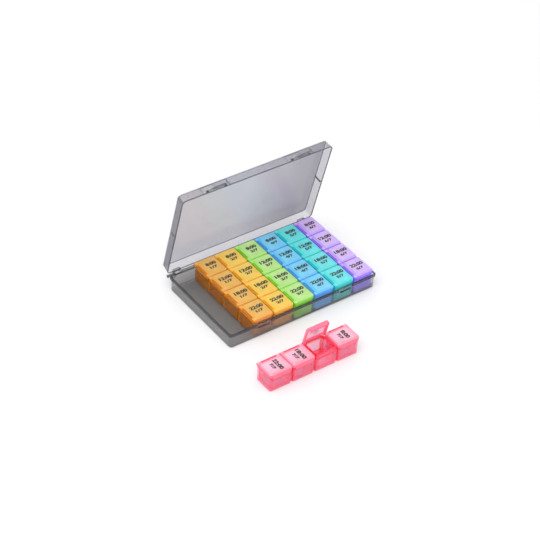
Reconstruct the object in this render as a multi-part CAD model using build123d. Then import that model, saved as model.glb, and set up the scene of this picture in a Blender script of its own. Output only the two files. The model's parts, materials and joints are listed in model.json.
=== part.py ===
from build123d import *
from math import atan2, degrees
import os

# A seven-day pill organiser with four compartments a day, in millimetres and degrees.
# X runs along the case's long side, Y from its front to its hinge, Z up from the surface it stands on.
# The origin is the middle of the base's underside.

# The case, closed, seen from above and from the side
CASE_LENGTH_PLAY = 3.8
CASE_DEPTH_PLAY = 0.3
CASE_CORNER_RADIUS = 6.0
RIM_HEIGHT = 20.0
LID_HEADROOM = 2.8

# The base: its wall, its flange under the lid's edge and the lip that stands inside the lid
BASE_FLOOR = 1.8
BASE_DRAFT = 0.6
BASE_BOTTOM_RADIUS = 1.4
FLANGE_OVERHANG = 1.2
FLANGE_THICKNESS = 1.4
LIP_HEIGHT = 1.4
LIP_THICKNESS = 0.95
LIP_CLEARANCE = 0.25

# The lid of the case
LID_SKIRT = 1.4
LID_PANEL = 1.5
LID_DRAFT = 1.0
LID_EDGE_RADIUS = 2.0
LID_OPEN_ANGLE = 76.0
SIDE_RIB_WIDTH = 1.2
SIDE_RIB_DEPTH = 0.6

# The hinge of the case, a base knuckle and a lid knuckle with its pin near each end
HINGE_KNUCKLE_RADIUS = 2.2
HINGE_PIN_RADIUS = 1.2
HINGE_PIN_CLEARANCE = 0.05
HINGE_BEHIND_WALL = 2.4
HINGE_BELOW_RIM = 1.6
HINGE_KNUCKLE_LENGTH = 10.0
HINGE_KNUCKLE_GAP = 0.4
HINGE_END_INSET = 0.5
HINGE_ARM_HEIGHT = 3.0
HINGE_LEDGE_DEPTH = 3.2

# The two latches, flaps that hang from lugs on the lid's front skirt
LATCH_OFFSET = 63.0
LATCH_PIVOT_ABOVE_RIM = 1.5
LATCH_PIVOT_CLEARANCE = 0.2
LATCH_BARREL_RADIUS = 1.3
LATCH_ROOT_WIDTH = 25.0
LATCH_PIN_RADIUS = 0.6
LATCH_PIN_CLEARANCE = 0.05
LATCH_PIN_LENGTH = 1.2
LATCH_LUG_WIDTH = 1.4
LATCH_LUG_RADIUS = 1.5
LATCH_LUG_GAP = 0.2
LATCH_PLATE = 1.4
LATCH_GRIP_DROP = 14.1
LATCH_GRIP_RADIUS = 2.7
LATCH_GRIP_LENGTH = 21.0
LATCH_TAPER_DROP = 6.0
LATCH_PANEL_WIDTH = 15.0
LATCH_PANEL_HEIGHT = 9.0
LATCH_PANEL_DEPTH = 0.7
LATCH_HOOK_REACH = 1.1
LATCH_HOOK_HEIGHT = 1.4
LATCH_REST_ANGLE = 62.0

# The shallow recess in the skirt around each latch
RECESS_WIDTH = 38.0
RECESS_HEIGHT = 11.0
RECESS_DEPTH = 0.5

# The two catches on the base's front wall that the latches hook under
CATCH_NOTCH_WIDTH = 23.0
CATCH_NOTCH_HEIGHT = 3.6
CATCH_BAR_WIDTH = 15.0
CATCH_BAR_HEIGHT = 1.4
CATCH_BAR_DEPTH = 1.2
CATCH_BAR_DROP = 3.4
CATCH_HOOK_GAP = 0.3

# The trays, each four boxes in a row joined by narrow necks
TRAY_GAP = 1.8
DAY_COUNT = 7
COMPARTMENT_PITCH = 33.3
COMPARTMENT_WIDTH = 29.2
COMPARTMENT_GAP = 1.1
COMPARTMENT_CORNER_RADIUS = 3.4
COMPARTMENT_BOTTOM_RADIUS = 1.8
COMPARTMENT_DRAFT = 0.5
COMPARTMENT_SHOULDER = 22.0
COMPARTMENT_RIM_STEP = 4.1
COMPARTMENT_WALL = 1.2
COMPARTMENT_FLOOR = 1.3
COMPARTMENT_SCOOP_RADIUS = 2.6
NECK_INSET = 2.6
NECK_BOTTOM = 1.4
NECK_BELOW_SHOULDER = 1.0
TRAY_LIFT = 32.0

# The compartment lids, caps that hang over the rim on three sides
CAP_OVERHANG = 0.5
CAP_GAP = 0.7
CAP_CORNER_RADIUS = 3.2
CAP_WALL = 1.0
CAP_CLEARANCE = 0.25
CAP_SKIRT_CLEARANCE = 0.4
CAP_PANEL = 1.3
CAP_BEVEL_HEIGHT = 1.4
CAP_BEVEL = 2.0
CAP_LIP_DROP = 2.4
CAP_LIP_FLARE = 0.4
CAP_LIP_SHORTER = 3.4
CAP_RIB_HEIGHT = 1.7
CAP_RIB_THICKNESS = 0.9
CAP_RIB_CLEARANCE = 0.35
CAP_STRIP_WIDTH = 3.6
CAP_STRIP_THICKNESS = 1.1

# The hinge of a compartment lid
CAP_BARREL_RADIUS = 1.2
CAP_KNUCKLE_RADIUS = 1.1
CAP_EAR_LENGTH = 5.5
CAP_PIN_RADIUS = 0.7
CAP_PIN_LENGTH = 2.6
CAP_PIN_CLEARANCE = 0.05
CAP_HINGE_END_GAP = 0.2
CAP_HINGE_CLEARANCE = 0.3

# The seventh tray stands in front of the case, turned a quarter turn, with its noon lid open
LOOSE_TRAY_X = -50.0
LOOSE_TRAY_AHEAD = 73.0
LOOSE_TRAY_TURN = -90.0
LOOSE_LID_OPEN_ANGLE = 76.0

DAYS_IN_CASE = ["monday", "tuesday", "wednesday", "thursday", "friday", "saturday"]
LOOSE_DAY = "sunday"
TIMES = ["bed", "evening", "noon", "morning"]
OPEN_TIME = "noon"

# Places and sizes that follow from the values above
LIP_INSET = LID_SKIRT + LIP_CLEARANCE
BASE_INNER_INSET = LIP_INSET + LIP_THICKNESS
TRAY_PITCH = COMPARTMENT_WIDTH + TRAY_GAP
CAP_LENGTH = COMPARTMENT_PITCH - CAP_GAP
TRAY_LENGTH = (len(TIMES) - 1) * COMPARTMENT_PITCH + CAP_LENGTH
CASE_LENGTH = DAY_COUNT * TRAY_PITCH + CASE_LENGTH_PLAY + 2 * BASE_INNER_INSET
CASE_DEPTH = TRAY_LENGTH + CASE_DEPTH_PLAY + 2 * BASE_INNER_INSET
COMPARTMENT_RIM = COMPARTMENT_SHOULDER + COMPARTMENT_RIM_STEP
CAP_TOP = COMPARTMENT_RIM + CAP_PANEL
LID_HEIGHT = BASE_FLOOR + CAP_TOP + LID_HEADROOM + LID_PANEL - RIM_HEIGHT
HINGE_Y = CASE_DEPTH / 2 + HINGE_BEHIND_WALL
HINGE_Z = RIM_HEIGHT - HINGE_BELOW_RIM
BASE_KNUCKLE_END = CASE_LENGTH / 2 - HINGE_END_INSET
BASE_KNUCKLE_START = BASE_KNUCKLE_END - HINGE_KNUCKLE_LENGTH
LID_KNUCKLE_END = BASE_KNUCKLE_START - HINGE_KNUCKLE_GAP
LID_KNUCKLE_START = LID_KNUCKLE_END - HINGE_KNUCKLE_LENGTH
LATCH_PIVOT_Y = -CASE_DEPTH / 2 + RECESS_DEPTH - LATCH_BARREL_RADIUS - LATCH_PIVOT_CLEARANCE
LATCH_PIVOT_Z = RIM_HEIGHT + LATCH_PIVOT_ABOVE_RIM
CATCH_BAR_TOP = RIM_HEIGHT - CATCH_BAR_DROP
COMPARTMENT_LENGTH = COMPARTMENT_PITCH - COMPARTMENT_GAP
NECK_WIDTH = COMPARTMENT_WIDTH - 2 * NECK_INSET
NECK_TOP = COMPARTMENT_SHOULDER - NECK_BELOW_SHOULDER
CAP_WIDTH_FROM_MIDDLE = COMPARTMENT_WIDTH / 2 + CAP_OVERHANG
CAP_SKIRT_BOTTOM = COMPARTMENT_SHOULDER + CAP_SKIRT_CLEARANCE
CAP_SHOULDER = CAP_TOP - CAP_BEVEL_HEIGHT
CAP_INNER_X = CAP_WIDTH_FROM_MIDDLE - CAP_WALL
CAP_INNER_Y = CAP_LENGTH / 2 - CAP_WALL
RIM_WIDTH = 2 * (CAP_INNER_X - CAP_CLEARANCE)
RIM_LENGTH = 2 * (CAP_INNER_Y - CAP_CLEARANCE)
CAVITY_WIDTH = RIM_WIDTH - 2 * COMPARTMENT_WALL
CAVITY_LENGTH = RIM_LENGTH - 2 * COMPARTMENT_WALL
CAP_HINGE_X = -(RIM_WIDTH / 2 - COMPARTMENT_WALL / 2)
CAP_HINGE_HEIGHT = CAP_SHOULDER - CAP_BARREL_RADIUS
CAP_EAR_START = CAP_LENGTH / 2 - CAP_EAR_LENGTH
CAP_KNUCKLE_LENGTH = 2 * (CAP_EAR_START - CAP_HINGE_END_GAP)
STRIP_END_X = CAP_HINGE_X + CAP_STRIP_WIDTH
COMPARTMENT_PLACES = [(place - (len(TIMES) - 1) / 2) * COMPARTMENT_PITCH for place in range(len(TIMES))]
LOOSE_TRAY_Y = -CASE_DEPTH / 2 - LOOSE_TRAY_AHEAD


def rounded_block(width, length, radius, z_low, z_high, middle_x=0.0):
    """A block with rounded upright edges between two heights."""
    outline = Plane.XY.offset(z_low) * Pos(middle_x, 0) * RectangleRounded(width, length, radius)
    return extrude(outline, amount=z_high - z_low)


def drafted_block(width, length, radius, z_wide, z_narrow, inset, middle_x=0.0):
    """A rounded block whose sides lean in by inset from its wide end to its narrow end."""
    height = abs(z_narrow - z_wide)
    direction = (0, 0, 1) if z_narrow > z_wide else (0, 0, -1)
    start = Plane(origin=(middle_x, 0, z_wide), x_dir=(1, 0, 0), z_dir=direction)
    outline = start * RectangleRounded(width, length, radius)
    return extrude(outline, amount=height, taper=degrees(atan2(inset, height)))


def block(x_low, x_high, y_low, y_high, z_low, z_high):
    """A plain block between two corners."""
    middle = ((x_low + x_high) / 2, (y_low + y_high) / 2, (z_low + z_high) / 2)
    return Pos(*middle) * Box(x_high - x_low, y_high - y_low, z_high - z_low)


def rod_along_x(radius, x_low, x_high, y, z):
    """A round rod along X."""
    return Pos((x_low + x_high) / 2, y, z) * Rot(0, 90, 0) * Cylinder(radius, x_high - x_low)


def rod_along_y(radius, y_low, y_high, x, z):
    """A round rod along Y."""
    return Pos(x, (y_low + y_high) / 2, z) * Rot(90, 0, 0) * Cylinder(radius, y_high - y_low)


def lower_edges(solid):
    """The edges that lie lowest on a solid."""
    return solid.edges().group_by(Axis.Z)[0]


def upper_edges(solid):
    """The edges that lie highest on a solid."""
    return solid.edges().group_by(Axis.Z)[-1]


def catch(x):
    """The cuts and the bar of one catch on the base's front wall, as (cut, bar)."""
    flange_front = -CASE_DEPTH / 2
    wall_front = flange_front + FLANGE_OVERHANG
    cut_back = wall_front + LIP_CLEARANCE
    notch = block(x - CATCH_NOTCH_WIDTH / 2, x + CATCH_NOTCH_WIDTH / 2, flange_front - 1, cut_back,
                  RIM_HEIGHT - CATCH_NOTCH_HEIGHT, RIM_HEIGHT)
    bar = block(x - CATCH_BAR_WIDTH / 2, x + CATCH_BAR_WIDTH / 2, wall_front - CATCH_BAR_DEPTH,
                cut_back + LIP_THICKNESS / 2, CATCH_BAR_TOP - CATCH_BAR_HEIGHT, CATCH_BAR_TOP)
    return notch, bar


def make_base():
    """The base: drafted walls, a flange with a ledge under the hinge, a raised lip, two catches and two hinge knuckles."""
    flange_bottom = RIM_HEIGHT - FLANGE_THICKNESS
    wall_radius = CASE_CORNER_RADIUS - FLANGE_OVERHANG
    walls = drafted_block(CASE_LENGTH - 2 * FLANGE_OVERHANG, CASE_DEPTH - 2 * FLANGE_OVERHANG,
                          wall_radius, RIM_HEIGHT, 0, BASE_DRAFT)
    walls = fillet(lower_edges(walls), BASE_BOTTOM_RADIUS)
    flange = rounded_block(CASE_LENGTH, CASE_DEPTH, CASE_CORNER_RADIUS, flange_bottom, RIM_HEIGHT)
    lip = rounded_block(CASE_LENGTH - 2 * LIP_INSET, CASE_DEPTH - 2 * LIP_INSET,
                        CASE_CORNER_RADIUS - LIP_INSET, flange_bottom, RIM_HEIGHT + LIP_HEIGHT)
    base = walls + flange + lip
    cavity = rounded_block(CASE_LENGTH - 2 * BASE_INNER_INSET, CASE_DEPTH - 2 * BASE_INNER_INSET,
                           CASE_CORNER_RADIUS - BASE_INNER_INSET, BASE_FLOOR, RIM_HEIGHT + LIP_HEIGHT + 1)
    base -= cavity
    for side in (-1, 1):
        notch, bar = catch(side * LATCH_OFFSET)
        base = base - notch + bar
        low, high = sorted((side * BASE_KNUCKLE_START, side * BASE_KNUCKLE_END))
        knuckle = rod_along_x(HINGE_KNUCKLE_RADIUS, low, high, HINGE_Y, HINGE_Z)
        wall_back = CASE_DEPTH / 2 - BASE_INNER_INSET + LIP_THICKNESS / 2
        web_low, web_high = sorted((side * BASE_KNUCKLE_START, side * (CASE_LENGTH / 2 - CASE_CORNER_RADIUS)))
        web = block(web_low, web_high, wall_back, HINGE_Y, HINGE_Z - HINGE_KNUCKLE_RADIUS, RIM_HEIGHT)
        bore = rod_along_x(HINGE_PIN_RADIUS + HINGE_PIN_CLEARANCE, low - 1, high + 1, HINGE_Y, HINGE_Z)
        base = base + knuckle + web - bore
    ledge_end = LID_KNUCKLE_START - HINGE_KNUCKLE_GAP
    ledge = block(-ledge_end, ledge_end, CASE_DEPTH / 2 - FLANGE_OVERHANG, CASE_DEPTH / 2 + HINGE_LEDGE_DEPTH,
                  flange_bottom, RIM_HEIGHT)
    return base + ledge


def latch_lugs(x):
    """The two lugs on the closed lid's skirt that a latch turns in, as (lugs, holes)."""
    lugs, holes = [], []
    for side in (-1, 1):
        inner = LATCH_ROOT_WIDTH / 2 + LATCH_LUG_GAP
        low, high = sorted((x + side * inner, x + side * (inner + LATCH_LUG_WIDTH)))
        lug = rod_along_x(LATCH_LUG_RADIUS, low, high, LATCH_PIVOT_Y, LATCH_PIVOT_Z)
        lug += block(low, high, LATCH_PIVOT_Y, -CASE_DEPTH / 2 + LID_SKIRT - RECESS_DEPTH / 2,
                     LATCH_PIVOT_Z - LATCH_LUG_RADIUS, LATCH_PIVOT_Z + LATCH_LUG_RADIUS)
        lugs.append(lug)
        holes.append(rod_along_x(LATCH_PIN_RADIUS + LATCH_PIN_CLEARANCE, low - 1, high + 1,
                                 LATCH_PIVOT_Y, LATCH_PIVOT_Z))
    return lugs, holes


def make_latch(x):
    """One latch, closed, hanging from its lugs on the closed lid with its hook under the catch."""
    half_root = LATCH_ROOT_WIDTH / 2
    half_grip = LATCH_GRIP_LENGTH / 2
    barrel = rod_along_x(LATCH_BARREL_RADIUS, x - half_root, x + half_root, LATCH_PIVOT_Y, LATCH_PIVOT_Z)
    pins = rod_along_x(LATCH_PIN_RADIUS, x - half_root - LATCH_PIN_LENGTH, x + half_root + LATCH_PIN_LENGTH,
                       LATCH_PIVOT_Y, LATCH_PIVOT_Z)
    taper_z = LATCH_PIVOT_Z - LATCH_TAPER_DROP
    grip_z = LATCH_PIVOT_Z - LATCH_GRIP_DROP
    outline = Plane.XZ * make_face(Polyline((x - half_root, LATCH_PIVOT_Z), (x + half_root, LATCH_PIVOT_Z),
                                            (x + half_grip, taper_z), (x + half_grip, grip_z),
                                            (x - half_grip, grip_z), (x - half_grip, taper_z), close=True))
    plate = Pos(0, LATCH_PIVOT_Y, 0) * extrude(outline, amount=LATCH_PLATE / 2, both=True)
    plate_front = LATCH_PIVOT_Y - LATCH_PLATE / 2
    plate_back = LATCH_PIVOT_Y + LATCH_PLATE / 2
    grip = rod_along_x(LATCH_GRIP_RADIUS, x - half_grip, x + half_grip, plate_back - LATCH_GRIP_RADIUS, grip_z)
    panel_low = grip_z + LATCH_GRIP_RADIUS + LATCH_LUG_GAP
    panel = block(x - LATCH_PANEL_WIDTH / 2, x + LATCH_PANEL_WIDTH / 2, plate_front - 1,
                  plate_front + LATCH_PANEL_DEPTH, panel_low, panel_low + LATCH_PANEL_HEIGHT)
    hook_top = CATCH_BAR_TOP - CATCH_BAR_HEIGHT - CATCH_HOOK_GAP
    hook = block(x - LATCH_PANEL_WIDTH / 2, x + LATCH_PANEL_WIDTH / 2, plate_back - LATCH_PLATE / 4,
                 plate_back + LATCH_HOOK_REACH, hook_top - LATCH_HOOK_HEIGHT, hook_top)
    return plate - panel + barrel + pins + grip + hook


def make_closed_lid():
    """The case's lid where it lies when the case is shut."""
    top = RIM_HEIGHT + LID_HEIGHT
    shell = drafted_block(CASE_LENGTH, CASE_DEPTH, CASE_CORNER_RADIUS, RIM_HEIGHT, top, LID_DRAFT)
    shell = fillet(upper_edges(shell), LID_EDGE_RADIUS)
    cavity = drafted_block(CASE_LENGTH - 2 * LID_SKIRT, CASE_DEPTH - 2 * LID_SKIRT, CASE_CORNER_RADIUS - LID_SKIRT,
                           RIM_HEIGHT, top - LID_PANEL, LID_DRAFT * (LID_HEIGHT - LID_PANEL) / LID_HEIGHT)
    inner_x = CASE_LENGTH / 2 - LID_SKIRT
    lid = shell - cavity
    skin = shell - drafted_block(CASE_LENGTH - 2 * RECESS_DEPTH, CASE_DEPTH - 2 * RECESS_DEPTH,
                                 CASE_CORNER_RADIUS - RECESS_DEPTH, RIM_HEIGHT, top, LID_DRAFT)
    for side in (-1, 1):
        low, high = sorted((side * (inner_x - LID_DRAFT - SIDE_RIB_DEPTH), side * (inner_x + LID_SKIRT / 2)))
        rib_low = RIM_HEIGHT + LIP_HEIGHT + LIP_CLEARANCE
        rib = block(low, high, -SIDE_RIB_WIDTH / 2, SIDE_RIB_WIDTH / 2, rib_low, top - LID_PANEL / 2)
        lid += rib & shell
        window = block(side * LATCH_OFFSET - RECESS_WIDTH / 2, side * LATCH_OFFSET + RECESS_WIDTH / 2,
                       -CASE_DEPTH, 0, RIM_HEIGHT - 1, RIM_HEIGHT + RECESS_HEIGHT)
        lid -= skin & window
        lugs, holes = latch_lugs(side * LATCH_OFFSET)
        for lug, hole in zip(lugs, holes):
            lid = lid + lug - hole
        low, high = sorted((side * LID_KNUCKLE_START, side * LID_KNUCKLE_END))
        knuckle = rod_along_x(HINGE_KNUCKLE_RADIUS, low, high, HINGE_Y, HINGE_Z)
        arm = block(low, high, CASE_DEPTH / 2 - LID_SKIRT / 2, HINGE_Y + HINGE_KNUCKLE_RADIUS,
                    RIM_HEIGHT, RIM_HEIGHT + HINGE_ARM_HEIGHT)
        arm_root = block(low, high, HINGE_Y - HINGE_KNUCKLE_RADIUS + LIP_CLEARANCE, HINGE_Y + HINGE_KNUCKLE_RADIUS,
                         HINGE_Z, RIM_HEIGHT)
        pin_low, pin_high = sorted((side * LID_KNUCKLE_END, side * (BASE_KNUCKLE_END - LIP_CLEARANCE)))
        pin = rod_along_x(HINGE_PIN_RADIUS, pin_low, pin_high, HINGE_Y, HINGE_Z)
        lid = lid + arm + arm_root + knuckle + pin
    return lid


def open_lid(solid):
    """A piece of the closed lid turned back about the case's hinge to where it stands open."""
    return solid.rotate(Axis((0, HINGE_Y, HINGE_Z), (-1, 0, 0)), LID_OPEN_ANGLE)


def swing_latch(latch):
    """A latch swung out about its pins, on the closed lid."""
    return latch.rotate(Axis((0, LATCH_PIVOT_Y, LATCH_PIVOT_Z), (-1, 0, 0)), LATCH_REST_ANGLE)


def make_compartment(y):
    """One compartment of a tray: a drafted box with a narrower rim for its cap and a hinge knuckle."""
    body = drafted_block(COMPARTMENT_WIDTH, COMPARTMENT_LENGTH, COMPARTMENT_CORNER_RADIUS,
                         COMPARTMENT_SHOULDER, 0, COMPARTMENT_DRAFT)
    body = fillet(lower_edges(body), COMPARTMENT_BOTTOM_RADIUS)
    rim_radius = COMPARTMENT_CORNER_RADIUS - CAP_WALL
    rim = rounded_block(RIM_WIDTH, RIM_LENGTH, rim_radius, COMPARTMENT_SHOULDER - COMPARTMENT_WALL, COMPARTMENT_RIM)
    lip_recess = block(RIM_WIDTH / 2, COMPARTMENT_WIDTH, -CAP_LENGTH / 2, CAP_LENGTH / 2,
                       CAP_SKIRT_BOTTOM - CAP_LIP_DROP - CAP_HINGE_CLEARANCE, COMPARTMENT_RIM)
    body = body - lip_recess + rim
    hinge_space_bottom = CAP_HINGE_HEIGHT - CAP_BARREL_RADIUS - CAP_HINGE_CLEARANCE
    hinge_space_end = CAP_HINGE_X + CAP_BARREL_RADIUS + CAP_HINGE_CLEARANCE
    strip_space_bottom = CAP_SHOULDER - CAP_STRIP_THICKNESS - CAP_HINGE_CLEARANCE
    ear_space_start = CAP_EAR_START - CAP_HINGE_END_GAP / 2
    for side in (-1, 1):
        low, high = sorted((side * ear_space_start, side * COMPARTMENT_PITCH / 2))
        body -= block(-COMPARTMENT_WIDTH, hinge_space_end, low, high, hinge_space_bottom, COMPARTMENT_RIM + 1)
    body -= block(-COMPARTMENT_WIDTH, hinge_space_end, -ear_space_start, ear_space_start,
                  CAP_HINGE_HEIGHT + CAP_KNUCKLE_RADIUS - CAP_HINGE_END_GAP, COMPARTMENT_RIM + 1)
    body -= block(hinge_space_end, STRIP_END_X + CAP_HINGE_CLEARANCE, -COMPARTMENT_PITCH / 2,
                  COMPARTMENT_PITCH / 2, strip_space_bottom, COMPARTMENT_RIM + 1)
    cavity = rounded_block(CAVITY_WIDTH, CAVITY_LENGTH, COMPARTMENT_SCOOP_RADIUS + CAP_HINGE_CLEARANCE,
                           COMPARTMENT_FLOOR, COMPARTMENT_RIM + 1)
    cavity = fillet(lower_edges(cavity), COMPARTMENT_SCOOP_RADIUS)
    half = CAP_KNUCKLE_LENGTH / 2
    knuckle = rod_along_y(CAP_KNUCKLE_RADIUS, -half, half, CAP_HINGE_X, CAP_HINGE_HEIGHT)
    pins = rod_along_y(CAP_PIN_RADIUS, -half - CAP_PIN_LENGTH, half + CAP_PIN_LENGTH, CAP_HINGE_X, CAP_HINGE_HEIGHT)
    return Pos(0, y, 0) * (body - cavity + knuckle + pins)


def make_tray():
    """A whole tray about its own middle, its underside at zero height."""
    tray = make_compartment(COMPARTMENT_PLACES[0])
    for before, y in zip(COMPARTMENT_PLACES, COMPARTMENT_PLACES[1:]):
        middle = (before + y) / 2
        reach = COMPARTMENT_GAP / 2 + COMPARTMENT_WALL
        neck = block(-NECK_WIDTH / 2, NECK_WIDTH / 2, middle - reach, middle + reach, NECK_BOTTOM, NECK_TOP)
        tray = tray + neck + make_compartment(y)
    return tray


def make_cap(y):
    """One compartment lid, closed, about its tray's middle."""
    low_x = STRIP_END_X - CAP_STRIP_WIDTH + COMPARTMENT_WALL / 2
    width = CAP_WIDTH_FROM_MIDDLE - low_x
    middle_x = (CAP_WIDTH_FROM_MIDDLE + low_x) / 2
    skirt = rounded_block(width, CAP_LENGTH, CAP_CORNER_RADIUS, CAP_SKIRT_BOTTOM, CAP_SHOULDER, middle_x)
    panel_low = STRIP_END_X - CAP_BEVEL / 2
    panel_width = CAP_WIDTH_FROM_MIDDLE - panel_low
    panel = drafted_block(panel_width, CAP_LENGTH, CAP_CORNER_RADIUS, CAP_SHOULDER, CAP_TOP, CAP_BEVEL,
                          (CAP_WIDTH_FROM_MIDDLE + panel_low) / 2)
    square_end = block(low_x, middle_x, -CAP_LENGTH / 2, CAP_LENGTH / 2, CAP_SHOULDER - CAP_STRIP_THICKNESS, CAP_SHOULDER)
    strip = block(CAP_HINGE_X, STRIP_END_X, -CAP_LENGTH / 2, CAP_LENGTH / 2,
                  CAP_SHOULDER - CAP_STRIP_THICKNESS, CAP_SHOULDER)
    cap = skirt + square_end + strip + panel
    hollow = rounded_block(CAP_INNER_X - STRIP_END_X, 2 * CAP_INNER_Y, CAP_CORNER_RADIUS - CAP_WALL,
                           CAP_SKIRT_BOTTOM - 1, COMPARTMENT_RIM, (CAP_INNER_X + STRIP_END_X) / 2)
    under_strip = block(low_x - COMPARTMENT_WALL, middle_x, -CAP_INNER_Y, CAP_INNER_Y,
                        CAP_SKIRT_BOTTOM - 1, CAP_SHOULDER - CAP_STRIP_THICKNESS)
    square_hollow = block(STRIP_END_X, middle_x, -CAP_INNER_Y, CAP_INNER_Y, CAP_SKIRT_BOTTOM - 1, COMPARTMENT_RIM)
    cap = cap - hollow - square_hollow - under_strip
    lip_half = CAP_LENGTH / 2 - CAP_LIP_SHORTER
    lip_bottom = CAP_SKIRT_BOTTOM - CAP_LIP_DROP
    lip_outline = Plane.XZ * make_face(Polyline((CAP_INNER_X, CAP_SKIRT_BOTTOM + CAP_WALL),
                                                (CAP_WIDTH_FROM_MIDDLE, CAP_SKIRT_BOTTOM + CAP_WALL),
                                                (CAP_WIDTH_FROM_MIDDLE + CAP_LIP_FLARE, lip_bottom),
                                                (CAP_INNER_X, lip_bottom), close=True))
    cap += extrude(lip_outline, amount=lip_half, both=True)
    rib_high = CAVITY_WIDTH / 2 - CAP_RIB_CLEARANCE
    rib_half = CAVITY_LENGTH / 2 - COMPARTMENT_SCOOP_RADIUS
    cap += block(rib_high - CAP_RIB_THICKNESS, rib_high, -rib_half, rib_half,
                 COMPARTMENT_RIM - CAP_RIB_HEIGHT, COMPARTMENT_RIM + CAP_WALL / 2)
    slot = block(CAP_HINGE_X - CAP_WALL, CAP_HINGE_X + CAP_KNUCKLE_RADIUS + CAP_HINGE_CLEARANCE,
                 -CAP_EAR_START, CAP_EAR_START, CAP_SKIRT_BOTTOM, CAP_SHOULDER + CAP_WALL)
    cap -= slot
    for side in (-1, 1):
        low, high = sorted((side * CAP_EAR_START, side * CAP_LENGTH / 2))
        cap += rod_along_y(CAP_BARREL_RADIUS, low, high, CAP_HINGE_X, CAP_HINGE_HEIGHT)
        hole_end = CAP_KNUCKLE_LENGTH / 2 + CAP_PIN_LENGTH + CAP_HINGE_END_GAP
        low, high = sorted((side * (CAP_EAR_START - 1), side * hole_end))
        cap -= rod_along_y(CAP_PIN_RADIUS + CAP_PIN_CLEARANCE, low, high, CAP_HINGE_X, CAP_HINGE_HEIGHT)
    return Pos(0, y, 0) * cap


def open_cap(cap, angle):
    """A compartment lid turned up about its hinge by an angle."""
    return cap.rotate(Axis((CAP_HINGE_X, 0, CAP_HINGE_HEIGHT), (0, -1, 0)), angle)


def make_nodes():
    """Every piece by name, in the place it has in the assembly."""
    nodes = {"case_base": make_base(), "case_lid": open_lid(make_closed_lid())}
    for name, x in (("latch_left", -LATCH_OFFSET), ("latch_right", LATCH_OFFSET)):
        nodes[name] = open_lid(swing_latch(make_latch(x)))
    tray = make_tray()
    caps = {time: make_cap(y) for time, y in zip(TIMES, COMPARTMENT_PLACES)}
    first_bay = (DAY_COUNT - 1) / 2 - (DAY_COUNT - len(DAYS_IN_CASE))
    for bay, day in enumerate(DAYS_IN_CASE):
        place = Pos((bay - first_bay) * TRAY_PITCH, 0, BASE_FLOOR)
        nodes["tray_" + day] = place * tray
        for time in TIMES:
            nodes["lid_" + day + "_" + time] = place * caps[time]
    place = Pos(LOOSE_TRAY_X, LOOSE_TRAY_Y, 0) * Rot(0, 0, LOOSE_TRAY_TURN)
    nodes["tray_" + LOOSE_DAY] = place * tray
    for time in TIMES:
        cap = caps[time]
        if time == OPEN_TIME:
            cap = open_cap(cap, LOOSE_LID_OPEN_ANGLE)
        nodes["lid_" + LOOSE_DAY + "_" + time] = place * cap
    return nodes


os.makedirs("parts", exist_ok=True)
for name, solid in make_nodes().items():
    export_step(solid, "parts/" + name + ".step")
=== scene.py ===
import json
import math
import bpy
import numpy as np
from mathutils import Matrix, Vector


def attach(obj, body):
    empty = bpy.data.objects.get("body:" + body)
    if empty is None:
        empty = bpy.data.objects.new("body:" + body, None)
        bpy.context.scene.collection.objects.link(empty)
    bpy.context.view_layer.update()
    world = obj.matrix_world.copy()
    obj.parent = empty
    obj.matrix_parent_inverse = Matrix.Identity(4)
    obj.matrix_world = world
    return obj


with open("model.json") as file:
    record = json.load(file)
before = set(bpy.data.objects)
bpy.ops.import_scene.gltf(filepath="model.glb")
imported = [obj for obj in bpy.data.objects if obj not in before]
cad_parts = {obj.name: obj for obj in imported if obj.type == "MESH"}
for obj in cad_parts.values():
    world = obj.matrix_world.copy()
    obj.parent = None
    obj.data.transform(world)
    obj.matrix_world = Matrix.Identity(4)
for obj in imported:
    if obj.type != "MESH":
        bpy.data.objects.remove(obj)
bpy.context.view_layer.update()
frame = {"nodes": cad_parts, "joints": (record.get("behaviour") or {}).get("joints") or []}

MM = 0.001

# The case: base, lid and the two latches.
# Smoke-tinted crystal polystyrene, injection moulded in a polished tool, so it
# is clear and glossy, grey where one wall is seen and near black edge-on.
SMOKE_THROUGH = {"case_base": "F0F0F0", "case_lid": "F0EFF2", "latch_left": "F8F8FA",
                 "latch_right": "F8F8FA"}
SMOKE_THROUGH_MM = 1.5
SMOKE_MILK = "C9C9CE"
SMOKE_MILK_SHARE = 0.07
SMOKE_MILK_SPREAD = 0.4
# The edge colour below is painted shade: a near-black colour painted along each edge, where a wall seen
# edge-on looks dark.
SMOKE_EDGE_SHADE = "26262C"
SMOKE_EDGE_SHADE_SHARE = 1.0
SMOKE_EDGE_MM = {"case_base": 1.6, "case_lid": 1.8, "latch_left": 0.8, "latch_right": 0.8}
SMOKE_EDGE_LEAN = 0.93
# Painted shade: a darker tint on the base's floor and hinge wall, where the bay lies in shade.
BAY_SHADE_TINT = "E0E0DF"
HINGE_WALL_FROM_Y_MM = 60.0
# Painted shade on the lid: a darker tint that grows across the panel towards +X and on the end walls towards
# -X.
LID_SHADE_TINT = "D7D7DA"
PANEL_SHADE = 0.42
PANEL_SHADE_FROM_X_MM = 0.0
PANEL_SHADE_FULL_AT_X_MM = 88.0
NEAR_END_SHADE = 1.0
FAR_END_SHADE = 0.35
SKIRT_SHADE = 0.12
CASE_HALF_MM = 113.0
FACE_ON = 0.9
MOSTLY_FACE_ON = 0.7
STYRENE_IOR = 1.38
STYRENE_ROUGHNESS = (0.16, 0.26)
FLOW_MARK_MM = 35.0
STYRENE_POLISH_MARK_MM = 0.9
STYRENE_POLISH_DEPTH_MM = 0.004
POLISH_STRENGTH = 0.4
HANDLING_MARK_MM = 12.0
HANDLING_MARK_TONES = (0.35, 0.7)
EDGE_STARTS_AT_LEAN = 0.99
EDGE_SAMPLES = 8
SCATTERED_ONWARD = 0.35
LEAST_LIGHT = 0.002
CLEAR = WHITE = (1, 1, 1, 1)


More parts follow.
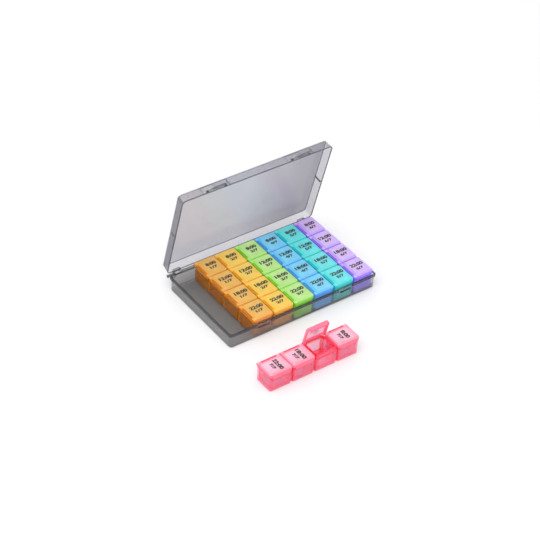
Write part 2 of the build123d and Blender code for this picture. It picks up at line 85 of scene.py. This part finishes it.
def linear(hex_colour):
    """An sRGB hex value as a linear RGBA tuple: each channel is raised by the sRGB curve."""
    channels = [int(hex_colour[i:i + 2], 16) / 255 for i in (0, 2, 4)]
    return tuple(c / 12.92 if c <= 0.04045 else ((c + 0.055) / 1.055) ** 2.4 for c in channels) + (1.0,)


def add(tree, kind, settings=None, **inputs):
    """Adds a node of that kind, sets its properties, and gives each input a value or a link. An input is
    named as Blender names it, with _ for a space, or by its number, as _0."""
    new = tree.nodes.new(kind)
    for name, value in (settings or {}).items():
        setattr(new, name, value)
    for name, value in inputs.items():
        numbered = name[0] == "_" and name[1:].isdigit()
        socket = new.inputs[int(name[1:]) if numbered else name.replace("_", " ")]
        if isinstance(value, bpy.types.NodeSocket):
            tree.links.new(value, socket)
        else:
            socket.default_value = value
    return new


def start_material(name):
    """An empty node material, as (material, tree, output node, place, facing): the last two are the Object
    coordinates in metres and the Object normal."""
    material = bpy.data.materials.new(name)
    material.use_nodes = True
    tree = material.node_tree
    tree.nodes.clear()
    output = add(tree, "ShaderNodeOutputMaterial")
    coordinates = add(tree, "ShaderNodeTexCoord")
    return material, tree, output, coordinates.outputs["Object"], coordinates.outputs["Normal"]


def moulded_surface(tree, place, polish_mm, depth_mm, roughness):
    """What every moulded face has, as (normal, roughness): a faint ripple left by the tool's polish, drawn
    coarser than the real one so that it shows, and a gloss that goes from the first to the second roughness
    in the patches where hands have worn it."""
    ripple = add(tree, "ShaderNodeTexNoise", Vector=place, Scale=1 / (polish_mm * MM), Detail=3.0)
    bump = add(tree, "ShaderNodeBump", Height=ripple.outputs["Fac"], Strength=POLISH_STRENGTH,
               Distance=depth_mm * MM)
    handling = add(tree, "ShaderNodeTexNoise", Vector=place, Scale=1 / (HANDLING_MARK_MM * MM), Detail=5.0,
                   Roughness=0.65)
    rough = add(tree, "ShaderNodeMapRange", Value=handling.outputs["Fac"], From_Min=HANDLING_MARK_TONES[0],
                From_Max=HANDLING_MARK_TONES[1], To_Min=roughness[0], To_Max=roughness[1])
    return bump.outputs["Normal"], rough.outputs["Result"]


def dye(tree, output, seen_through, wall_mm):
    """The dye in the plastic: white light through a wall of that thickness comes out that colour. Each
    channel's loss per metre is minus the logarithm of what is left, over the thickness."""
    loss = [-math.log(max(c, LEAST_LIGHT)) / (wall_mm * MM) for c in linear(seen_through)[:3]]
    density = max(loss)
    colour = tuple(1 - part / density for part in loss) + (1.0,)
    absorbed = add(tree, "ShaderNodeVolumeAbsorption", Color=colour, Density=density)
    tree.links.new(absorbed.outputs["Volume"], output.inputs["Volume"])


def along_edges(tree, radius_mm, full_lean):
    """0 on a flat face and 1 on an edge, where a normal rounded over that radius leans from the true one
    until the cosine between them is full_lean."""
    rounded = add(tree, "ShaderNodeBevel", {"samples": EDGE_SAMPLES}, Radius=radius_mm * MM)
    true = add(tree, "ShaderNodeNewGeometry").outputs["Normal"]
    lean = add(tree, "ShaderNodeVectorMath", {"operation": "DOT_PRODUCT"}, _0=rounded.outputs[0], _1=true)
    edge = add(tree, "ShaderNodeMapRange", Value=lean.outputs["Value"], From_Min=EDGE_STARTS_AT_LEAN,
               From_Max=full_lean)
    return edge.outputs["Result"]


def clear_wall(tree, output, clear, milk, milk_share, edge, edge_shade_colour, edge_shade_share, ior, roughness, normal):
    """A see-through face: light goes straight on, a share scatters in the plastic's milk, and a slanted face
    shines. On an edge a larger share takes a painted edge colour, deeper or darker than the wall: painted
    shade where a wall seen edge-on looks darker."""
    colour = add(tree, "ShaderNodeMix", {"data_type": "RGBA"}, _0=edge, _6=linear(milk),
                 _7=linear(edge_shade_colour))
    share = add(tree, "ShaderNodeMapRange", Value=edge, To_Min=milk_share, To_Max=edge_shade_share)
    straight = add(tree, "ShaderNodeBsdfTransparent", Color=clear)
    back = add(tree, "ShaderNodeBsdfDiffuse", Color=colour.outputs[2], Normal=normal)
    onward = add(tree, "ShaderNodeBsdfTranslucent", Color=colour.outputs[2], Normal=normal)
    scattered = add(tree, "ShaderNodeMixShader", _0=SCATTERED_ONWARD, _1=back.outputs[0],
                    _2=onward.outputs[0])
    body = add(tree, "ShaderNodeMixShader", _0=share.outputs[0], _1=straight.outputs[0],
               _2=scattered.outputs[0])
    slant = add(tree, "ShaderNodeFresnel", IOR=ior, Normal=normal)
    inside = add(tree, "ShaderNodeNewGeometry").outputs["Backfacing"]
    outer = add(tree, "ShaderNodeMath", {"operation": "SUBTRACT"}, _0=1.0, _1=inside)
    shine = add(tree, "ShaderNodeMath", {"operation": "MULTIPLY"}, _0=slant.outputs[0], _1=outer.outputs[0])
    gloss = add(tree, "ShaderNodeBsdfAnisotropic", Color=WHITE, Roughness=roughness, Normal=normal)
    face = add(tree, "ShaderNodeMixShader", _0=shine.outputs[0], _1=body.outputs[0], _2=gloss.outputs[0])
    tree.links.new(face.outputs[0], output.inputs["Surface"])


def closed_to_place(joint):
    """The turn that takes a closed lid's directions to where the lid stands, from its hinge's range."""
    return Matrix.Rotation(math.radians(-joint["range_deg"][0]), 4, Vector(joint["axis"]))


def faces_along_axes(tree, facing):
    """How far a face looks along X, Y and Z, either way: each part of its normal, without its sign."""
    either_way = add(tree, "ShaderNodeVectorMath", {"operation": "ABSOLUTE"}, _0=facing)
    return add(tree, "ShaderNodeSeparateXYZ", Vector=either_way.outputs["Vector"]).outputs


def base_painted_shade(tree, place, facing):
    """Painted shade on the base's floor and hinge wall, where the bay lies in shade: both faces of each take
    a darker tint where the normal's part along Z, plus its part along Y at the rear, is over FACE_ON."""
    at = add(tree, "ShaderNodeSeparateXYZ", Vector=place).outputs
    looks = faces_along_axes(tree, facing)
    rear = add(tree, "ShaderNodeMath", {"operation": "GREATER_THAN"}, _0=at["Y"],
               _1=HINGE_WALL_FROM_Y_MM * MM)
    shaded_wall = add(tree, "ShaderNodeMath", {"operation": "MULTIPLY_ADD"}, _0=looks["Y"], _1=rear.outputs[0],
                _2=looks["Z"])
    shaded_wall = add(tree, "ShaderNodeMath", {"operation": "GREATER_THAN"}, _0=shaded_wall.outputs[0], _1=FACE_ON)
    return add(tree, "ShaderNodeMix", {"data_type": "RGBA"}, _0=shaded_wall.outputs[0], _6=CLEAR,
               _7=linear(BAY_SHADE_TINT)).outputs[2]


def lid_painted_shade(tree, place, facing, panel_normal):
    """Painted shade on the lid: its panel, which faces panel_normal, is painted darker evenly towards +X, its
    end walls darker towards -X, and its skirt has the least painted shade."""
    at = add(tree, "ShaderNodeSeparateXYZ", Vector=place).outputs
    looks = faces_along_axes(tree, facing)
    along_panel = add(tree, "ShaderNodeMapRange", Value=at["X"], From_Min=PANEL_SHADE_FROM_X_MM * MM,
                      From_Max=PANEL_SHADE_FULL_AT_X_MM * MM, To_Min=PANEL_SHADE)
    from_near_end = add(tree, "ShaderNodeMapRange", Value=at["X"], From_Min=-CASE_HALF_MM * MM,
                        From_Max=CASE_HALF_MM * MM, To_Min=NEAR_END_SHADE, To_Max=FAR_END_SHADE)
    flat = add(tree, "ShaderNodeVectorMath", {"operation": "DOT_PRODUCT"}, _0=facing, _1=panel_normal)
    flat = add(tree, "ShaderNodeMath", {"operation": "ABSOLUTE"}, _0=flat.outputs["Value"])
    flat = add(tree, "ShaderNodeMath", {"operation": "GREATER_THAN"}, _0=flat.outputs[0], _1=MOSTLY_FACE_ON)
    end_wall = add(tree, "ShaderNodeMath", {"operation": "GREATER_THAN"}, _0=looks["X"], _1=MOSTLY_FACE_ON)
    # The density here is the share of painted shade, not of dye.
    density = add(tree, "ShaderNodeMath", {"operation": "MULTIPLY"}, _0=flat.outputs[0],
                  _1=along_panel.outputs[0])
    density = add(tree, "ShaderNodeMath", {"operation": "MULTIPLY_ADD"}, _0=end_wall.outputs[0],
                  _1=from_near_end.outputs[0], _2=density.outputs[0])
    density = add(tree, "ShaderNodeMath", {"operation": "MAXIMUM"}, _0=density.outputs[0], _1=SKIRT_SHADE)
    return add(tree, "ShaderNodeMix", {"data_type": "RGBA"}, _0=density.outputs[0], _6=CLEAR,
               _7=linear(LID_SHADE_TINT)).outputs[2]


def smoke_styrene(piece, panel_normal):
    """Clear grey styrene, a little hazier in broad clouds, as melt that cooled unevenly is."""
    material, tree, output, place, facing = start_material("smoke_crystal_styrene_" + piece)
    flow = add(tree, "ShaderNodeTexNoise", Vector=place, Scale=1 / (FLOW_MARK_MM * MM), Detail=2.0)
    haze = add(tree, "ShaderNodeMapRange", Value=flow.outputs["Fac"],
               To_Min=(1 - SMOKE_MILK_SPREAD) * SMOKE_MILK_SHARE,
               To_Max=(1 + SMOKE_MILK_SPREAD) * SMOKE_MILK_SHARE)
    normal, rough = moulded_surface(tree, place, STYRENE_POLISH_MARK_MM, STYRENE_POLISH_DEPTH_MM,
                                    STYRENE_ROUGHNESS)
    # The base and the lid get painted shade in their see-through colour.
    if piece == "case_base":
        clear = base_painted_shade(tree, place, facing)
    elif piece == "case_lid":
        clear = lid_painted_shade(tree, place, facing, panel_normal)
    else:
        clear = CLEAR
    clear_wall(tree, output, clear, SMOKE_MILK, haze.outputs["Result"],
               along_edges(tree, SMOKE_EDGE_MM[piece], SMOKE_EDGE_LEAN), SMOKE_EDGE_SHADE, SMOKE_EDGE_SHADE_SHARE,
               STYRENE_IOR, rough, normal)
    dye(tree, output, SMOKE_THROUGH[piece], SMOKE_THROUGH_MM)
    return material


def dress(node_name, material):
    """Gives a CAD node its finish in its own material slots."""
    for slot in frame["nodes"][node_name].material_slots:
        slot.link = "OBJECT"
        slot.material = material


case_hinge = next(joint for joint in frame["joints"] if joint["child"] == "case_lid")
case_panel_normal = tuple(closed_to_place(case_hinge) @ Vector((0, 0, 1)))
for case_piece in SMOKE_THROUGH:
    dress(case_piece, smoke_styrene(case_piece, case_panel_normal))

# The seven day trays and their compartment lids.
# Tinted polypropylene, injection moulded: the colour is in the melt, so thick
# and doubled walls look deeper; edges, lid skirts and the loose tray's front
# wall also take a painted deeper colour, which is painted shade. The thin raised
# lids look paler and milky, partly their own milk and partly a painted sheen.
TRAY_DAYS = ["monday", "tuesday", "wednesday", "thursday", "friday", "saturday", "sunday"]
DAY_DYES = {"monday": "F4E6C8", "tuesday": "FFF6CC", "wednesday": "EEFCD6", "thursday": "D6EFFF",
            "friday": "D2FAFA", "saturday": "EBE0FF", "sunday": "FFF3F8"}
DYE_WALL_MM = 1.2
TRAY_MILKS = {"monday": "F2A42C", "tuesday": "FFC836", "wednesday": "AEF24A", "thursday": "74D0FF",
              "friday": "3AE6E6", "saturday": "B49EFF", "sunday": "FFA4C4"}
TRAY_MILK_SHARES = {"monday": 0.3, "tuesday": 0.36, "wednesday": 0.5, "thursday": 0.55, "friday": 0.5,
                    "saturday": 0.6, "sunday": 0.2}
# The lids' pale milk is partly their own milky plastic and partly a painted sheen: the soft gloss that their
# tops show.
LID_MILK_AND_SHEEN = {"monday": "FFD570", "tuesday": "FFE672", "wednesday": "E4FFB6", "thursday": "98F2FF",
             "friday": "88FCFF", "saturday": "FCE0FF", "sunday": "FFE0F0"}
LID_MILK_AND_SHEEN_SHARES = {"monday": 0.7, "tuesday": 0.7, "wednesday": 0.62, "thursday": 0.68, "friday": 0.62,
                   "saturday": 0.62, "sunday": 0.45}
MILK_SPREAD = 0.2
# The edge colours below are painted shade: a deeper colour painted along the trays' and lids' edges, where
# walls seen edge-on look deeper.
TRAY_EDGE_SHADES = {"monday": "F59C14", "tuesday": "FFC41A", "wednesday": "8CEA18", "thursday": "3CAAFF",
              "friday": "0CE0DC", "saturday": "A276FF", "sunday": "F00C38"}
LID_EDGE_SHADES = TRAY_EDGE_SHADES | {"sunday": "FF4076"}
DAY_EDGE_SHADE_SHARES = dict.fromkeys(TRAY_DAYS, 0.82) | {"sunday": 0.96}
TRAY_EDGES_MM = dict.fromkeys(TRAY_DAYS, 3.4) | {"sunday": 6.0}
LID_EDGE_MM = 1.6
DAY_EDGE_LEAN = 0.91
WALL_LEANS = (0.93, 0.6)
# Painted shade too: the lid skirts and the loose tray's front wall go part of the way to the edge colour.
LID_SKIRT_SHADE = 0.75
LOOSE_FRONT_SHADE = 0.22
LOOSE_FRONT_BEFORE_Y_MM = -152.0
PROPYLENE_IOR = 1.49
PROPYLENE_ROUGHNESS = (0.14, 0.26)
PROPYLENE_POLISH_MARK_MM = 0.7
PROPYLENE_POLISH_DEPTH_MM = 0.006
SPRUE_CLOUD_MM = 14.0


def tinted_propylene(name, dye_colour, milk, milk_share, edge_shade_colour, edge_shade_share, edge_mm,
                     plain_facing=(0, 0, 1), side_shade=0.0, before_y_mm=None):
    """See-through coloured propylene, dyed right through, milkier in soft clouds, under a satin gloss. A wall
    that leans from plain_facing goes the given share of the way to the painted edge shade, and where
    before_y_mm is given, only in front of that Y."""
    material, tree, output, place, facing = start_material(name)
    cloud = add(tree, "ShaderNodeTexNoise", Vector=place, Scale=1 / (SPRUE_CLOUD_MM * MM), Detail=3.0)
    milky = add(tree, "ShaderNodeMapRange", Value=cloud.outputs["Fac"],
                To_Min=(1 - MILK_SPREAD) * milk_share, To_Max=(1 + MILK_SPREAD) * milk_share)
    normal, rough = moulded_surface(tree, place, PROPYLENE_POLISH_MARK_MM, PROPYLENE_POLISH_DEPTH_MM,
                                    PROPYLENE_ROUGHNESS)
    lean = add(tree, "ShaderNodeVectorMath", {"operation": "DOT_PRODUCT"}, _0=facing, _1=plain_facing)
    lean = add(tree, "ShaderNodeMath", {"operation": "ABSOLUTE"}, _0=lean.outputs["Value"])
    wall_shade = add(tree, "ShaderNodeMapRange", Value=lean.outputs[0], From_Min=WALL_LEANS[0],
                From_Max=WALL_LEANS[1], To_Max=side_shade)
    if before_y_mm is not None:
        at = add(tree, "ShaderNodeSeparateXYZ", Vector=place).outputs
        front = add(tree, "ShaderNodeMath", {"operation": "LESS_THAN"}, _0=at["Y"], _1=before_y_mm * MM)
        wall_shade = add(tree, "ShaderNodeMath", {"operation": "MULTIPLY"}, _0=wall_shade.outputs[0],
                    _1=front.outputs[0])
    edge = add(tree, "ShaderNodeMath", {"operation": "MAXIMUM"},
               _0=along_edges(tree, edge_mm, DAY_EDGE_LEAN), _1=wall_shade.outputs[0])
    clear_wall(tree, output, CLEAR, milk, milky.outputs["Result"], edge.outputs[0], edge_shade_colour, edge_shade_share,
               PROPYLENE_IOR, rough, normal)
    dye(tree, output, dye_colour, DYE_WALL_MM)
    return material


# A face along X or along Z counts as plain against (1, 0, 1), so of the loose tray's walls only the front one
# takes the painted shade, not its ends or its floor.
LOOSE_FRONT = {"plain_facing": (1, 0, 1), "side_shade": LOOSE_FRONT_SHADE,
               "before_y_mm": LOOSE_FRONT_BEFORE_Y_MM}
for day in TRAY_DAYS:
    dress("tray_" + day, tinted_propylene(
        "tinted_propylene_tray_" + day, DAY_DYES[day], TRAY_MILKS[day], TRAY_MILK_SHARES[day],
        TRAY_EDGE_SHADES[day], DAY_EDGE_SHADE_SHARES[day], TRAY_EDGES_MM[day],
        **(LOOSE_FRONT if day == "sunday" else {})))
for joint in frame["joints"]:
    if joint["child"].startswith("lid_"):
        day = joint["child"].split("_")[1]
        panel_normal = tuple(closed_to_place(joint) @ Vector((0, 0, 1)))
        dress(joint["child"], tinted_propylene(
            "tinted_propylene_" + joint["child"], DAY_DYES[day], LID_MILK_AND_SHEEN[day], LID_MILK_AND_SHEEN_SHARES[day],
            LID_EDGE_SHADES[day], DAY_EDGE_SHADE_SHARES[day], LID_EDGE_MM, panel_normal, LID_SKIRT_SHADE))

# The print on each compartment lid: the hour, large, over the day's number.
# Black screen-printing ink, a film a few hundredths of a millimetre thick.
HOURS = {"bed": "22:00", "evening": "18:00", "noon": "12:00", "morning": "8:00"}
HOUR_WIDTHS_MM = {"bed": 19.0, "evening": 19.0, "noon": 19.0, "morning": 15.0}
HOUR_HEIGHT_MM = 6.0
HOUR_ABOVE_MIDDLE_MM = 3.4
DAY_WIDTH_MM = 11.0
DAY_HEIGHT_MM = 4.6
DAY_ABOVE_MIDDLE_MM = -4.2
PRINT_FROM_HINGE_MM = 15.5
LID_TOP_ABOVE_HINGE_MM = 2.6
INK_FILM_MM = 0.04
INK_ABOVE_HINGE_MM = LID_TOP_ABOVE_HINGE_MM + INK_FILM_MM / 2
INK_DENSE = "16151A"
INK_THIN = "2A282E"
INK_ROUGHNESS = 0.55
SCREEN_MESH_MM = 0.5
STROKE_BOLDER = 0.05
STROKE_RAISED = 0.5
STROKE_CURVE_STEPS = 3


def black_print_ink():
    """Matt black ink, a little uneven where the screen's mesh left it thin, in marks drawn coarser than the
    real mesh so that they show."""
    material, tree, output, place, _ = start_material("black_screen_ink")
    mesh_mark = add(tree, "ShaderNodeTexNoise", Vector=place, Scale=1 / (SCREEN_MESH_MM * MM), Detail=2.0)
    tone = add(tree, "ShaderNodeMix", {"data_type": "RGBA"}, _0=mesh_mark.outputs["Fac"],
               _6=linear(INK_DENSE), _7=linear(INK_THIN))
    shader = add(tree, "ShaderNodeBsdfPrincipled", Base_Color=tone.outputs[2], Roughness=INK_ROUGHNESS)
    tree.links.new(shader.outputs["BSDF"], output.inputs["Surface"])
    return material


def letters(text, width_mm, height_mm):
    """The outline font's shapes for a text, bold, as (points, faces): each point less the middle, over the
    text's own size, times the size that is wanted."""
    curve = bpy.data.curves.new("setting", "FONT")
    curve.body = text
    curve.align_x, curve.align_y = "CENTER", "CENTER"
    curve.offset = STROKE_BOLDER
    curve.extrude = STROKE_RAISED
    curve.resolution_u = STROKE_CURVE_STEPS
    holder = bpy.data.objects.new("setting", curve)
    mesh = bpy.data.meshes.new_from_object(holder)
    points = np.empty(len(mesh.vertices) * 3)
    mesh.vertices.foreach_get("co", points)
    points = points.reshape(-1, 3)
    faces = [tuple(face.vertices) for face in mesh.polygons]
    bpy.data.objects.remove(holder)
    bpy.data.curves.remove(curve)
    bpy.data.meshes.remove(mesh)
    low, high = points.min(axis=0), points.max(axis=0)
    size = np.array([width_mm, height_mm, INK_FILM_MM])
    return (points - (low + high) / 2) / (high - low) * size, faces


ink = black_print_ink()
for joint in frame["joints"]:
    lid_name = joint["child"]
    if not lid_name.startswith("lid_"):
        continue
    day, time = lid_name.split("_")[1:]
    day_number = f"{TRAY_DAYS.index(day) + 1}/{len(TRAY_DAYS)}"
    across = -Vector(joint["axis"])
    along = across.cross(Vector((0, 0, 1)))
    lid_frame = Matrix((along, across, (0, 0, 1))).transposed().to_4x4()
    seat = Matrix.Translation(joint["pos_m"]) @ closed_to_place(joint) @ lid_frame
    shapes = [(letters(HOURS[time], HOUR_WIDTHS_MM[time], HOUR_HEIGHT_MM), HOUR_ABOVE_MIDDLE_MM),
              (letters(day_number, DAY_WIDTH_MM, DAY_HEIGHT_MM), DAY_ABOVE_MIDDLE_MM)]
    points, faces = np.empty((0, 3)), []
    for (glyphs, glyph_faces), above in shapes:
        faces += [tuple(i + len(points) for i in face) for face in glyph_faces]
        points = np.vstack([points, glyphs + [PRINT_FROM_HINGE_MM, above, INK_ABOVE_HINGE_MM]])
    turn = np.array(seat.to_3x3())
    mesh = bpy.data.meshes.new("print_" + day + "_" + time)
    mesh.from_pydata((points * MM @ turn.T + np.array(seat.translation)).tolist(), [], faces)
    mesh.materials.append(ink)
    label = bpy.data.objects.new(mesh.name, mesh)
    bpy.context.collection.objects.link(label)
    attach(label, lid_name)

# The table: a sweep of white paper, matt, with a faint fibre in it, drawn
# coarser than the real one. It lies just under what stands on it.
PAPER_COLOUR = "D8D8D9"
PAPER_FIBRE_COLOUR = "DBDBDB"
PAPER_FIBRE_MM = 3.0
PAPER_ROUGHNESS = 0.9
TABLE_HALF_M = 2.5
TABLE_Z_M = -0.00005

corners = [(x * TABLE_HALF_M, y * TABLE_HALF_M, TABLE_Z_M) for x, y in ((-1, -1), (1, -1), (1, 1), (-1, 1))]
table_mesh = bpy.data.meshes.new("table_top")
table_mesh.from_pydata(corners, [], [(0, 1, 2, 3)])
table_top = bpy.data.objects.new("table_top", table_mesh)
bpy.context.collection.objects.link(table_top)
paper_material, paper_tree, paper_output, paper_place, _ = start_material("white_paper_sweep")
fibre = add(paper_tree, "ShaderNodeTexNoise", Vector=paper_place, Scale=1 / (PAPER_FIBRE_MM * MM),
            Detail=2.0)
paper = add(paper_tree, "ShaderNodeMix", {"data_type": "RGBA"}, _0=fibre.outputs["Fac"],
            _6=linear(PAPER_COLOUR), _7=linear(PAPER_FIBRE_COLOUR))
paper_shader = add(paper_tree, "ShaderNodeBsdfPrincipled", Base_Color=paper.outputs[2],
                   Roughness=PAPER_ROUGHNESS)
paper_tree.links.new(paper_shader.outputs["BSDF"], paper_output.inputs["Surface"])
table_mesh.materials.append(paper_material)

# The light: an even white studio, a little stronger than it is seen, and one
# large soft box high on the left, whose light leaves only a contact shadow.
STUDIO_STRENGTH = 1.15
STUDIO_SEEN_STRENGTH = 1.0
SOFTBOX_POWER_W = 48.0
SOFTBOX_SIZE_M = 2.2
SOFTBOX_PLACE_M = (-1.1, -0.7, 2.7)

world = bpy.data.worlds.new("white_studio")
bpy.context.scene.world = world
world.use_nodes = True
sky = world.node_tree
sky.nodes.clear()
rays = add(sky, "ShaderNodeLightPath").outputs
seen = add(sky, "ShaderNodeMath", {"operation": "MAXIMUM"}, _0=rays["Is Camera Ray"],
           _1=rays["Is Transmission Ray"])
seen = add(sky, "ShaderNodeMath", {"operation": "MAXIMUM"}, _0=seen.outputs[0], _1=rays["Is Glossy Ray"])
strength = add(sky, "ShaderNodeMapRange", Value=seen.outputs[0], To_Min=STUDIO_STRENGTH,
               To_Max=STUDIO_SEEN_STRENGTH)
backdrop = add(sky, "ShaderNodeBackground", Color=WHITE, Strength=strength.outputs["Result"])
add(sky, "ShaderNodeOutputWorld", Surface=backdrop.outputs["Background"])

softbox_light = bpy.data.lights.new("softbox", "AREA")
softbox_light.energy = SOFTBOX_POWER_W
softbox_light.size = SOFTBOX_SIZE_M
softbox = bpy.data.objects.new("softbox", softbox_light)
bpy.context.collection.objects.link(softbox)
softbox.location = SOFTBOX_PLACE_M
softbox.rotation_euler = (-Vector(SOFTBOX_PLACE_M)).to_track_quat("-Z", "Y").to_euler()

# The camera, fitted to the photograph: it looks ahead along its yaw and down
# along its pitch, and its roll turns its two picture axes about that line.
CAMERA_PLACE_M = (-1.01452, -1.31296, 1.36721)
CAMERA_YAW_DEG = 37.533
CAMERA_PITCH_DEG = 38.889
CAMERA_ROLL_DEG = 3.328
CAMERA_FOCAL_PX = 1695.63
CAMERA_REACH_M = 20.0
PHOTO_WIDTH_PX = 540
SENSOR_MM = 36.0

yaw, pitch, roll = (math.radians(a) for a in (CAMERA_YAW_DEG, CAMERA_PITCH_DEG, CAMERA_ROLL_DEG))
ahead = Vector((math.sin(yaw) * math.cos(pitch), math.cos(yaw) * math.cos(pitch), -math.sin(pitch)))
level = Vector((math.cos(yaw), -math.sin(yaw), 0))
upward = level.cross(ahead)
camera_x = math.cos(roll) * level + math.sin(roll) * upward
camera_y = -math.sin(roll) * level + math.cos(roll) * upward
camera_data = bpy.data.cameras.new("photo_camera")
camera_data.sensor_width = SENSOR_MM
camera_data.lens = CAMERA_FOCAL_PX / PHOTO_WIDTH_PX * SENSOR_MM
camera_data.clip_end = CAMERA_REACH_M
camera = bpy.data.objects.new("photo_camera", camera_data)
bpy.context.collection.objects.link(camera)
camera_turn = Matrix((camera_x, camera_y, -ahead)).transposed().to_4x4()
camera.matrix_world = Matrix.Translation(CAMERA_PLACE_M) @ camera_turn
bpy.context.scene.camera = camera
bpy.context.scene.view_settings.view_transform = "Standard"
